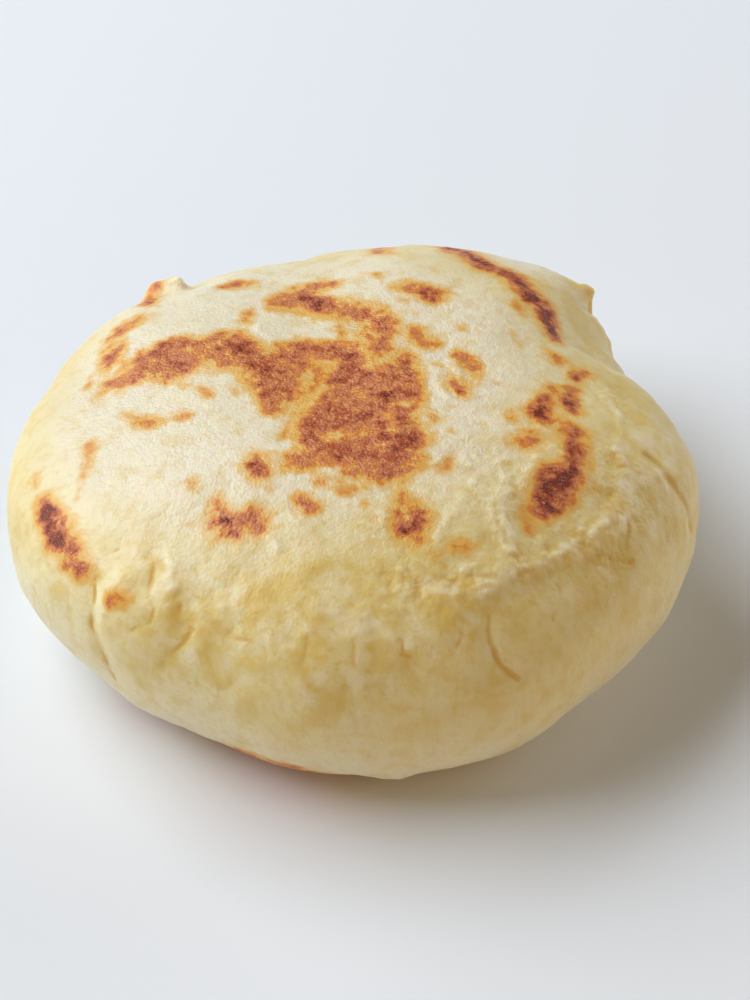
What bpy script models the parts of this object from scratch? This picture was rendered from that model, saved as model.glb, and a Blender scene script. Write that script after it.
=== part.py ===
"""Stuffed cassava arepa: one shut, puffed round of dough, griddled on both faces.

Blender 4.5, metres, +Z up. The arepa lies on its flat lower face, with the origin under its middle.
The sizes below are millimetres and degrees. An azimuth runs anticlockwise from above, from 0 at +X,
so 90 is the back, 180 the left and 270 the front.

The outline and the side's round profile give a plain body first. Relief is then laid over it along
its normals: the hump and the pinches of the seam, the griddled face's broken rim, folds and cracks.
"""

import math

import bmesh
import bpy
import numpy as np
from mathutils import Euler, Vector, noise

MM = 0.001

# Driving sizes of the plain body
WIDTH = 100.0
DEPTH = 98.0
HEIGHT = 38.0
WAIST_HEIGHT = 17.0  # where the side stands upright
TOP_ROUNDNESS = 2.7  # 2 is an ellipse, and more is squarer
BASE_ROUNDNESS = 2.8
BASE_SINK = 2.5  # how far the round side would run on below the flat face
FOOT = 4.0  # height over which the relief fades out, down to the flat face
FLATTEST = 0.03  # what is lower than this belongs to the flat face

# Unevenness of the dough: size across, height and random seed of its lumps, and the slant of their grid
BROAD_LUMPS = (17.0, 0.55, 3.0)
SMALL_LUMPS = (6.0, 0.16, 11.0)
CRUMBS = (2.3, 0.26, 23.0)
LUMP_SLANT = Euler((0.6, 0.9, 0.4))

# Grid of the fine shape, and the number of triangles that the solid keeps
GRID_CUTS = 99
GRID_FLATNESS = 0.4
KEPT_TRIANGLES = 10600

# Swells and dips of the outline: azimuth, spread in degrees, and how far it moves out
OUTLINE_SWELLS = (
    (25.0, 16.0, -4.0),
    (50.0, 18.0, 4.0),
    (75.0, 18.0, 2.4),
    (100.0, 16.0, -2.0),
    (124.0, 12.0, -1.0),
    (150.0, 18.0, -1.0),
    (210.0, 20.0, -0.5),
    (235.0, 20.0, -2.4),
    (262.0, 20.0, -1.0),
    (292.0, 20.0, 0.7),
    (315.0, 18.0, -1.4),
)

# Where the dough is broken and crumbly: place, and spread
CRUMBLY_PLACES = (
    (("top", 16.0, -35.0), 5.0),
    (("top", 25.0, -30.0), 5.0),
    (("top", 32.0, -25.0), 5.0),
    (("top", 37.0, -16.0), 4.0),
    (("top", -28.0, -30.0), 5.0),
    (("side", 236.0, 27.0), 4.5),
)

# Round swells and hollows: place, spread, and how far out
BULGES = (
    # the hump over the seam's end, at the back right, and its edge out to the lip
    (("top", 17.0, 30.0), 13.0, 1.5),
    (("side", 47.0, 27.0), 8.0, 0.8),
    # its steep right side
    (("top", 35.5, 22.0), 6.5, -0.9),
    # the right lobe's shoulder
    (("top", 38.0, -4.0), 10.0, 0.2),
    # the griddled face's edge at the front right, the soft hollow below it, and the belly under that
    (("top", 18.0, -30.0), 6.0, 0.35),
    (("side", 297.0, 28.5), 6.5, -1.2),
    (("side", 306.0, 26.5), 6.5, -0.6),
    (("side", 303.0, 19.0), 8.0, 0.6),
    # the full front
    (("side", 262.0, 20.0), 12.0, 0.7),
    # the left-front lobe, and the foot outside its fold
    (("side", 232.0, 25.0), 6.5, 0.7),
    (("side", 212.0, 17.0), 7.0, 0.5),
    # the full left shoulder
    (("side", 145.0, 28.0), 9.0, 0.9),
    # the dip beside the pinched nub, at the back left
    (("side", 126.0, 32.0), 2.6, -0.9),
    # a drop at the foot of the front
    (("side", 277.5, 7.0), 2.2, 1.2),
)

# Ridges and, with a negative height, creases: height, half width, and the line's places
STROKES = (
    # the lip where the seam ends, the recess below it, and the crinkles of the hump's right side
    (0.9, 1.4, (("side", 45.5, 28.0), ("side", 45.0, 26.0))),
    (-1.4, 1.5, (("side", 42.0, 29.5), ("side", 42.0, 26.5), ("side", 42.0, 23.0))),
    (0.6, 1.2, (("side", 37.0, 29.5), ("side", 36.5, 26.0), ("side", 36.5, 22.0))),
    (-0.5, 1.1, (("side", 33.0, 29.5), ("side", 32.5, 25.0))),
    (0.5, 1.2, (("side", 27.0, 29.0), ("side", 26.0, 25.0))),
    # the valley between the hump and the right lobe
    (-1.0, 2.4, (("top", 31.5, 16.5), ("top", 36.0, 15.5), ("top", 39.0, 15.0), ("side", 20.5, 24.0))),
    # the soft folds on the right lobe
    (-0.6, 1.3, (("top", 38.5, 6.0), ("top", 41.0, 4.0), ("top", 43.0, 3.0), ("side", 1.0, 28.0))),
    (0.35, 1.8, (("top", 36.0, 3.5), ("top", 39.5, 2.0), ("top", 42.5, 1.0))),
    (-0.35, 1.2, (("top", 39.0, -7.5), ("top", 42.5, -8.5), ("side", 345.0, 27.0))),
    # the broken rim of the griddled face, at the front right
    (0.5, 1.7, (("top", 13.5, -38.0), ("top", 16.5, -36.5), ("top", 20.0, -34.0), ("top", 23.0, -31.5))),
    (0.5, 1.7, (("top", 26.0, -30.0), ("top", 29.0, -28.5), ("top", 32.5, -27.0), ("top", 34.0, -24.0))),
    (0.45, 1.7, (("top", 34.0, -24.0), ("top", 36.5, -20.0), ("top", 38.0, -16.5))),
    (-0.35, 1.6, (("top", 20.5, -36.0), ("top", 24.0, -34.0), ("top", 28.0, -31.5), ("top", 32.5, -29.0))),
    # ridges of the griddled face that run up to the rim
    (0.4, 1.2, (("top", 20.5, -22.0), ("top", 20.5, -25.5), ("top", 21.0, -29.5))),
    (0.25, 1.3, (("top", 12.5, -29.5), ("top", 10.0, -33.0))),
    # the curved crack of the front right, with the dough full beside it
    (-0.65, 0.8, (("side", 294.0, 30.0), ("side", 293.5, 28.0), ("side", 294.5, 26.0), ("side", 297.0, 23.5))),
    (0.35, 2.0, (("side", 297.0, 29.0), ("side", 297.5, 27.0), ("side", 300.0, 25.0))),
    (-0.35, 0.9, (("side", 290.0, 30.5), ("side", 287.5, 28.5))),
    # tears at the right
    (-0.35, 0.8, (("side", 322.0, 28.7), ("side", 326.0, 27.2))),
    (-0.3, 0.8, (("side", 331.0, 30.0), ("side", 326.5, 29.0))),
    (-0.35, 0.9, (("side", 337.0, 26.5), ("side", 335.0, 24.5))),
    # the pinched nub at the back left
    (2.2, 1.3, (("side", 134.0, 29.5), ("side", 130.0, 31.5))),
    # the left-front fold: a crease down the side, with the lobe rolled over its right
    (-0.6, 1.0, (("top", -30.0, -28.5), ("top", -33.0, -29.0), ("side", 221.5, 27.0), ("side", 222.5, 22.0))),
    (-0.55, 1.0, (("side", 222.5, 22.0), ("side", 225.0, 18.5), ("side", 226.5, 14.0))),
    (0.3, 1.9, (("top", -29.5, -31.0), ("side", 224.5, 27.0), ("side", 225.5, 23.5), ("side", 228.5, 18.0))),
    # crags inside that lobe
    (-0.4, 0.9, (("top", -26.0, -29.0), ("top", -25.5, -31.0), ("side", 231.5, 29.5))),
    (0.3, 1.2, (("side", 232.0, 31.0), ("side", 234.0, 29.0), ("side", 236.0, 27.0))),
    (-0.4, 1.0, (("side", 239.5, 29.5), ("side", 238.5, 27.0))),
    (-0.3, 1.1, (("side", 241.5, 27.5), ("side", 240.5, 25.0), ("side", 238.0, 21.5))),
    (-0.3, 1.0, (("side", 231.0, 24.0), ("side", 234.0, 27.0))),
    (-0.25, 0.9, (("side", 218.0, 26.0), ("side", 221.0, 24.5))),
)


def waist_radius(azimuth):
    """The plain body's largest radius at an azimuth in radians."""
    radius = 1.0 / np.hypot(np.cos(azimuth) / (WIDTH / 2.0), np.sin(azimuth) / (DEPTH / 2.0))
    for centre, spread, out in OUTLINE_SWELLS:
        away = (azimuth - math.radians(centre) + math.pi) % (2.0 * math.pi) - math.pi
        radius = radius + out * np.exp(-((away / math.radians(spread)) ** 2))
    return radius


def place(kind, first, second):
    """A point of the plain body: on its top at x, y, or on its side at an azimuth and a height."""
    if kind == "top":
        azimuth = math.atan2(second, first)
        radius = math.hypot(first, second)
        share = radius / float(waist_radius(azimuth))
        height = WAIST_HEIGHT + (HEIGHT - WAIST_HEIGHT) * (1.0 - share**TOP_ROUNDNESS) ** (1.0 / TOP_ROUNDNESS)
    else:
        azimuth = math.radians(first)
        height = second
        rise = HEIGHT - WAIST_HEIGHT if height > WAIST_HEIGHT else WAIST_HEIGHT + BASE_SINK
        power = TOP_ROUNDNESS if height > WAIST_HEIGHT else BASE_ROUNDNESS
        share = (1.0 - (abs(height - WAIST_HEIGHT) / rise) ** power) ** (1.0 / power)
        radius = share * float(waist_radius(azimuth))
    return np.array([radius * math.cos(azimuth), radius * math.sin(azimuth), height])


def plain_body(direction):
    """The plain body's surface in each direction from the middle of its waist."""
    azimuth = np.arctan2(direction[:, 1], direction[:, 0])
    pitch = np.arctan2(direction[:, 2], np.hypot(direction[:, 0], direction[:, 1]))
    above = pitch > 0.0
    rise = np.where(above, HEIGHT - WAIST_HEIGHT, WAIST_HEIGHT + BASE_SINK)
    power = np.where(above, TOP_ROUNDNESS, BASE_ROUNDNESS)
    across = np.cos(pitch) / waist_radius(azimuth)
    upward = np.abs(np.sin(pitch)) / rise
    reach = (across**power + upward**power) ** (-1.0 / power)
    radius = reach * np.cos(pitch)
    height = WAIST_HEIGHT + reach * np.sin(pitch)
    return np.stack([radius * np.cos(azimuth), radius * np.sin(azimuth), height], axis=1)


def distance_to_line(points, line):
    """Each point's distance to a line of straight pieces."""
    nearest = np.full(len(points), 1000.0)
    for start, end in zip(line[:-1], line[1:]):
        run = end - start
        along = np.clip((points - start) @ run / (run @ run), 0.0, 1.0)
        gap = np.linalg.norm(points - start - along[:, None] * run, axis=1)
        nearest = np.minimum(nearest, gap)
    return nearest


def lumps(points, size, height, seed):
    """Smooth noise of about plus or minus the height, with lumps of the given size."""
    slanted = points @ np.array(LUMP_SLANT.to_matrix()).T / size + seed
    return np.array([noise.noise(Vector(point)) for point in slanted]) * 2.0 * height


def relief(points):
    """How far each point of the plain body moves out along its normal."""
    out = lumps(points, *BROAD_LUMPS) + lumps(points, *SMALL_LUMPS)
    crumbly = np.zeros(len(points))
    for spot, spread in CRUMBLY_PLACES:
        gap = np.linalg.norm(points - place(*spot), axis=1)
        crumbly = np.maximum(crumbly, np.exp(-((gap / spread) ** 2)))
    out = out + crumbly * lumps(points, *CRUMBS)
    for spot, spread, height in BULGES:
        gap = np.linalg.norm(points - place(*spot), axis=1)
        out = out + height * np.exp(-((gap / spread) ** 2))
    for height, half_width, spots in STROKES:
        line = [place(*spot) for spot in spots]
        out = out + height * np.exp(-((distance_to_line(points, line) / half_width) ** 2))
    return out


def fine_grid():
    """A cube cut into an even grid: the directions that the surface is read in."""
    grid = bmesh.new()
    bmesh.ops.create_cube(grid, size=2.0)
    bmesh.ops.subdivide_edges(grid, edges=grid.edges[:], cuts=GRID_CUTS, use_grid_fill=True)
    return grid


def fine_shape():
    """The whole surface as a fine mesh."""
    grid = fine_grid()
    direction = np.tan(np.array([vertex.co for vertex in grid.verts]) * math.pi / 4.0)
    direction[:, 2] *= GRID_FLATNESS
    body = plain_body(direction)
    for vertex, point in zip(grid.verts, body):
        vertex.co = point
    grid.normal_update()
    normal = np.array([vertex.normal for vertex in grid.verts])
    rising = np.clip(body[:, 2] / FOOT, 0.0, 1.0)
    surface = body + normal * (relief(body) * rising)[:, None]
    surface[:, 2] = np.maximum(surface[:, 2], 0.0)
    middle = (surface.min(axis=0) + surface.max(axis=0)) / 2.0
    surface[:, :2] -= middle[:2]
    for vertex, point in zip(grid.verts, surface):
        vertex.co = point * MM
    mesh = bpy.data.meshes.new("fine shape")
    grid.to_mesh(mesh)
    grid.free()
    return mesh


def dough():
    """Griddled cassava dough: pale cream, with a waxy skin."""
    material = bpy.data.materials.new("griddled cassava dough")
    material.use_nodes = True
    shader = material.node_tree.nodes["Principled BSDF"]
    shader.inputs["Base Color"].default_value = (0.83, 0.74, 0.50, 1.0)
    shader.inputs["Roughness"].default_value = 0.55
    shader.inputs["IOR"].default_value = 1.42
    return material


def arepa():
    """The whole arepa as one object."""
    made = bpy.data.objects.new("arepa", fine_shape())
    bpy.context.scene.collection.objects.link(made)
    thinner = made.modifiers.new("fewer triangles", "DECIMATE")
    thinner.use_collapse_triangulate = True
    thinner.ratio = KEPT_TRIANGLES / (2.0 * len(made.data.polygons))
    kept = bpy.data.meshes.new_from_object(made.evaluated_get(bpy.context.evaluated_depsgraph_get()))
    made.modifiers.clear()
    kept.name = "arepa"
    for vertex in kept.vertices:
        if vertex.co.z < FLATTEST * MM:
            vertex.co.z = 0.0
    kept.shade_smooth()
    kept.materials.append(dough())
    made.data = kept
    return made


def main():
    for old in list(bpy.data.objects):
        bpy.data.objects.remove(old)
    arepa()


main()
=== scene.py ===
"""Looks of the stuffed cassava arepa: its dry griddled top, crumbly rim and waxy sides, in a pale studio.

Blender 4.5, metres, +Z up, laid out as an add-on and run as a script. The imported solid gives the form.
Its skin is remade here as a fine mesh, with the wrinkles, cracks and crumbs that the solid is too coarse
for, and each point of the skin knows how far inside a griddle mark it lies, so that the material can toast
it.

The places below are millimetres and degrees. A place on the top is its x and y, seen from above. A place
on the side is its azimuth and its height. An azimuth runs anticlockwise from above, from 0 at +X, so 270 is
the front.
"""

import math

import bpy
import numpy as np
from bpy.props import FloatProperty, FloatVectorProperty, IntProperty, PointerProperty
from mathutils import Euler, Matrix, Vector, noise
from mathutils.bvhtree import BVHTree


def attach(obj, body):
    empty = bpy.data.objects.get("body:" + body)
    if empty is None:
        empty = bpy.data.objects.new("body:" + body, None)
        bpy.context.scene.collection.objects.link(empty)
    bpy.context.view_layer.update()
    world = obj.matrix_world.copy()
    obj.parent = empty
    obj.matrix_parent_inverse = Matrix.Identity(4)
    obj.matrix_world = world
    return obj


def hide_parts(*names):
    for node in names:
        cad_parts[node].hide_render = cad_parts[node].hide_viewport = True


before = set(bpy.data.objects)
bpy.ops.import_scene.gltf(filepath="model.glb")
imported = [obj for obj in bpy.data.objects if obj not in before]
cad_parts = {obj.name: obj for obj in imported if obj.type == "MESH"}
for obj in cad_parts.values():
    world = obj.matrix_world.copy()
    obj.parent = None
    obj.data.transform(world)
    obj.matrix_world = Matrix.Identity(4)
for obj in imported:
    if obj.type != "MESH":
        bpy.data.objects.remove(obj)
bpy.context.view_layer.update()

bl_info = {
    "name": "Stuffed cassava arepa",
    "version": (1, 0, 0),
    "blender": (4, 5, 0),
    "location": "3D View > Sidebar > Arepa",
    "description": "Makes the arepa's skin with its griddle marks, and a plain studio round it",
    "category": "Add Mesh",
}

MM = 0.001
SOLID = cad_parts["arepa"]
SKIN = "arepa_skin"
FLOOR_WIDTH = 3.0

# Griddle marks: each line's points are x, y and the half width there

BROWNED = (
    # the left arm: its ring, the broad pad, its second knob and the lobe that hangs from it
    ((-34.6, 13.2, 1.2), (-35.2, 11.0, 1.3), (-35.7, 8.9, 0.7)),
    ((-34.8, 5.0, 0.8), (-33.2, 4.6, 1.0), (-31.4, 4.6, 1.0)),
    ((-28.6, 6.6, 2.6), (-26.8, 6.7, 4.2), (-24.6, 7.3, 4.2), (-22.2, 7.9, 2.8), (-20.6, 8.1, 2.5)),
    ((-30.3, 4.6, 0.7), (-30.1, 9.4, 0.7)),
    ((-20.6, 8.1, 2.5), (-18.2, 7.9, 4.2), (-16.2, 6.8, 3.4)),
    ((-14.4, 5.0, 2.7), (-12.4, 3.6, 2.9), (-11.0, 1.0, 3.4), (-10.4, -2.2, 2.6), (-10.2, -5.4, 1.5)),
    ((-9.4, 7.0, 1.8), (-8.2, 4.6, 1.5), (-7.6, 1.6, 1.3)),
    ((-9.2, 7.2, 1.9), (-6.2, 7.8, 1.9), (-3.0, 7.3, 1.8), (-0.6, 6.7, 1.8), (1.2, 6.9, 1.0)),
    # the upper arm: two fingers that join, and the way down to the middle
    ((-10.0, 22.4, 1.5), (-7.8, 24.0, 1.5), (-5.4, 24.6, 1.2), (-3.2, 24.7, 0.8)),
    ((-11.0, 21.2, 1.3), (-9.4, 21.4, 1.8), (-7.4, 20.6, 1.8), (-5.2, 19.6, 1.8), (-3.0, 18.6, 1.8)),
    ((-3.0, 18.6, 1.8), (-1.2, 17.5, 1.8), (0.6, 16.5, 1.5), (2.4, 15.7, 1.3)),
    ((3.6, 15.6, 0.9), (4.4, 14.0, 1.5), (4.8, 12.2, 1.5), (4.4, 10.6, 1.1)),
    ((1.8, 11.0, 0.7), (3.0, 9.6, 1.1), (3.8, 8.2, 1.2), (4.2, 7.2, 0.8)),
    ((0.5, 8.4, 0.9), (0.8, 6.2, 1.0)),
    ((-6.8, 4.8, 0.5), (-5.0, 2.0, 0.7), (-4.8, -0.4, 0.6), (-6.2, -3.0, 0.3)),
    # the main pad
    ((0.2, 6.0, 1.9), (0.4, 3.4, 2.4), (0.2, 0.4, 3.6), (-0.6, -3.0, 3.6)),
    ((7.6, 5.2, 1.6), (7.0, 3.0, 2.0), (6.4, 0.2, 3.0), (6.0, -3.0, 3.9)),
    ((2.4, -0.8, 3.4), (3.2, -6.0, 5.4), (3.4, -10.0, 6.2), (3.6, -14.2, 6.2), (3.8, -15.6, 5.6)),
    ((-1.4, -6.0, 3.6), (-3.0, -9.6, 4.2), (-3.4, -13.0, 3.8), (-5.0, -16.0, 2.2), (-7.4, -17.0, 1.5)),
    # the long stripe over the back right, down from behind
    ((13.4, 42.2, 2.4), (15.2, 39.6, 2.6), (16.6, 35.8, 2.5), (18.4, 32.6, 2.0), (20.6, 30.6, 1.6)),
    ((20.6, 30.6, 1.6), (22.8, 29.2, 1.7), (24.6, 26.9, 2.0), (26.3, 24.0, 2.1), (27.7, 21.4, 2.0)),
    ((27.7, 21.4, 2.0), (28.5, 18.8, 1.7), (29.3, 16.4, 1.2), (29.8, 13.8, 0.5)),
    # strays of the back
    ((6.4, 22.0, 0.4), (8.2, 22.2, 0.8), (10.2, 21.5, 1.2), (12.0, 20.9, 1.1), (13.8, 21.2, 0.2)),
    ((11.0, 20.2, 1.1), (11.8, 19.2, 0.8)),
    ((-19.0, 27.1, 0.8), (-17.2, 27.7, 0.8), (-15.2, 28.1, 0.4)),
    ((3.6, 35.4, 0.7), (3.7, 38.0, 0.9), (4.4, 42.0, 1.0)),
    ((-31.0, 28.8, 0.5), (-30.8, 27.2, 0.8), (-30.4, 25.4, 0.5)),
    ((-30.3, 31.6, 0.3), (-29.8, 30.6, 0.5)),
    ((-32.0, 20.2, 0.9), (-33.8, 18.4, 1.1), (-35.8, 16.8, 0.7)),
    ((8.9, 11.6, 0.6), (8.8, 10.4, 0.7), (9.9, 9.1, 0.7)),
    ((10.6, 8.9, 0.8), (11.8, 8.7, 0.7)),
    ((15.4, 5.9, 0.5), (16.4, 4.6, 0.9), (17.4, 3.2, 0.6)),
    ((14.3, 0.5, 0.5), (15.0, -0.9, 0.9), (15.6, -2.4, 0.6)),
    # strays of the left
    ((-28.9, -6.2, 0.5), (-27.8, -6.5, 0.7)),
    ((-43.1, -15.8, 1.2), (-41.8, -18.4, 1.8), (-40.2, -21.7, 1.9), (-38.5, -25.1, 1.8),
     (-36.4, -28.3, 1.2)),
    ((-12.8, -16.8, 0.9), (-12.6, -18.4, 1.3), (-12.5, -20.0, 1.0)),
    ((-18.0, -23.6, 0.3), (-17.4, -25.4, 0.7), (-17.0, -27.2, 1.2), (-16.4, -28.2, 1.0)),
    ((-16.4, -28.2, 1.0), (-15.3, -28.5, 0.7), (-14.2, -27.5, 1.1), (-13.2, -27.2, 1.2),
     (-12.2, -28.2, 0.9)),
    # strays of the front
    ((-6.6, -24.2, 0.4), (-6.0, -25.5, 0.9)),
    ((7.0, -23.7, 0.8), (7.6, -24.2, 0.8)),
    ((8.4, -25.7, 0.6), (9.5, -26.2, 0.8), (9.6, -27.6, 0.7), (8.3, -28.6, 0.9), (7.0, -29.1, 0.9)),
    ((6.3, -27.1, 0.3), (6.5, -27.4, 0.3)),
    ((8.9, -30.7, 0.35), (9.0, -31.0, 0.35)),
    ((14.2, -31.4, 0.1), (15.4, -31.3, 0.2)),
    ((-32.1, -33.9, 0.4), (-30.7, -34.5, 0.5)),
    # the cluster at the right
    ((28.6, 9.8, -0.1), (29.4, 8.8, 0.3), (30.3, 7.8, 0.1)),
    ((31.7, 4.5, 0.4), (32.4, 5.5, 0.8), (33.8, 6.5, 0.5)),
    ((31.4, 1.3, 0.6), (31.0, -0.8, 0.8), (30.6, -2.4, 1.1), (31.1, -3.9, 0.7)),
    ((28.0, -0.2, 0.6), (27.6, -1.9, 0.8), (26.5, -4.9, 1.4), (26.9, -7.0, 1.1)),
    ((22.4, -7.0, 0.25), (22.4, -7.5, 0.25)),
    ((22.5, -12.1, 0.4), (24.4, -11.8, 1.0), (26.0, -11.3, 0.7)),
    ((25.0, -10.7, 0.6), (25.0, -11.4, 0.6)),
    ((29.1, -9.2, 0.6), (30.2, -8.0, 0.7), (31.2, -8.5, 0.8), (32.4, -9.0, 0.7)),
    ((30.4, -9.4, 0.8), (31.0, -11.4, 1.3), (31.0, -14.0, 1.0), (30.5, -15.8, 1.6)),
    ((30.5, -15.8, 1.6), (28.7, -17.8, 2.6), (27.6, -20.2, 2.5), (26.8, -22.0, 2.2), (26.0, -23.2, 1.5)),
)

DEEPENED = (
    # darker, redder parts of the broad marks
    ((-18.0, 10.0, 0.2), (-17.4, 7.2, 0.6), (-15.6, 5.6, 0.4)),
    ((-13.4, 4.6, 0.8), (-12.2, 2.0, 1.2), (-11.4, -0.6, 0.8)),
    ((-7.6, 21.4, 0.6), (-5.0, 20.0, 0.9), (-1.4, 17.8, 0.6)),
    ((4.2, 13.6, 0.6), (4.6, 12.4, 0.6)),
    ((0.4, 6.4, 0.5), (0.4, 3.0, 0.7)),
    ((1.2, -1.0, 0.6), (3.6, -1.4, 0.7)),
    ((6.2, -2.6, 0.7), (7.4, -3.4, 1.2), (8.2, -2.0, 0.6)),
    ((-2.8, -5.4, 0.6), (-1.6, -6.8, 0.8)),
    ((-5.2, -10.4, 0.8), (-5.0, -12.2, 0.9)),
    ((8.2, -12.0, 0.7), (6.8, -14.6, 1.2), (5.4, -17.0, 0.8)),
    ((-2.4, -17.4, 0.8), (-0.6, -18.4, 0.9)),
    ((8.6, 22.0, 0.2), (10.6, 21.2, 0.7), (12.2, 20.8, 0.6)),
    ((14.4, 40.0, 0.8), (16.6, 36.0, 0.9), (20.6, 30.8, 0.5), (24.6, 27.0, 0.8), (27.7, 21.4, 0.8),
     (29.0, 17.0, 0.4)),
    ((-31.0, 28.4, 0.3), (-30.6, 26.2, 0.5)),
    ((-30.1, 31.2, 0.2), (-29.9, 30.8, 0.2)),
    ((-17.0, -26.4, 0.5), (-16.4, -28.0, 0.7), (-14.3, -27.3, 0.5)),
    ((9.6, -26.3, 0.2), (9.4, -27.6, 0.1), (7.4, -29.0, 0.6)),
    ((7.2, -24.0, 0.1), (7.5, -24.1, 0.1)),
    ((-6.2, -25.2, 0.3), (-6.0, -25.6, 0.3)),
    ((-31.8, -34.0, -0.2), (-31.2, -34.3, -0.2)),
    ((30.8, -9.0, 0.1), (31.0, -12.4, 0.5), (30.8, -14.6, 0.5)),
    ((30.2, -16.4, 1.0), (28.2, -18.6, 1.8), (27.0, -21.6, 1.5)),
    ((27.6, -1.6, 0.2), (26.5, -5.0, 0.9), (26.8, -6.6, 0.4)),
    ((31.3, 0.8, 0.2), (30.6, -2.4, 0.6)),
    ((23.8, -11.9, 0.3), (25.4, -11.4, 0.5)),
    ((32.0, 5.0, 0.2), (33.0, 6.0, 0.2)),
    ((29.2, 9.0, 0.0), (30.0, 8.0, 0.1)),
    ((15.8, 5.6, 0.2), (17.0, 3.6, 0.2)),
    ((14.6, -0.4, 0.2), (15.4, -2.0, 0.2)),
    ((-12.7, -17.6, 0.3), (-12.6, -19.2, 0.4)),
    ((-42.4, -17.4, 0.4), (-40.4, -21.4, 1.0), (-38.6, -25.0, 0.8)),
)

SCORCHED = (
    # the darkest cores
    ((15.8, 39.2, 0.3), (17.4, 35.2, 0.6), (18.8, 32.2, 0.3)),
    ((24.6, 26.6, 0.3), (26.6, 23.2, 1.0), (27.8, 21.0, 0.8), (28.7, 18.0, 0.5), (29.4, 15.6, 0.1)),
    ((-42.6, -17.0, 0.6), (-40.4, -21.4, 1.4), (-38.4, -25.4, 1.2), (-37.2, -27.2, 0.4)),
    ((26.4, -4.6, 0.4), (26.2, -5.6, 0.8)),
    ((30.7, -1.8, 0.1), (30.6, -2.6, 0.4)),
    ((24.4, -11.8, 0.1), (25.1, -11.5, 0.2)),
    ((30.6, -16.2, 0.2), (28.9, -17.6, 1.0), (28.2, -18.6, 0.9)),
    ((27.0, -21.2, 0.7), (26.4, -22.0, 0.9)),
    ((32.3, 5.4, -0.2), (32.5, 5.6, -0.2)),
    ((11.8, 19.8, -0.1), (12.0, 20.4, 0.0)),
)

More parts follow.
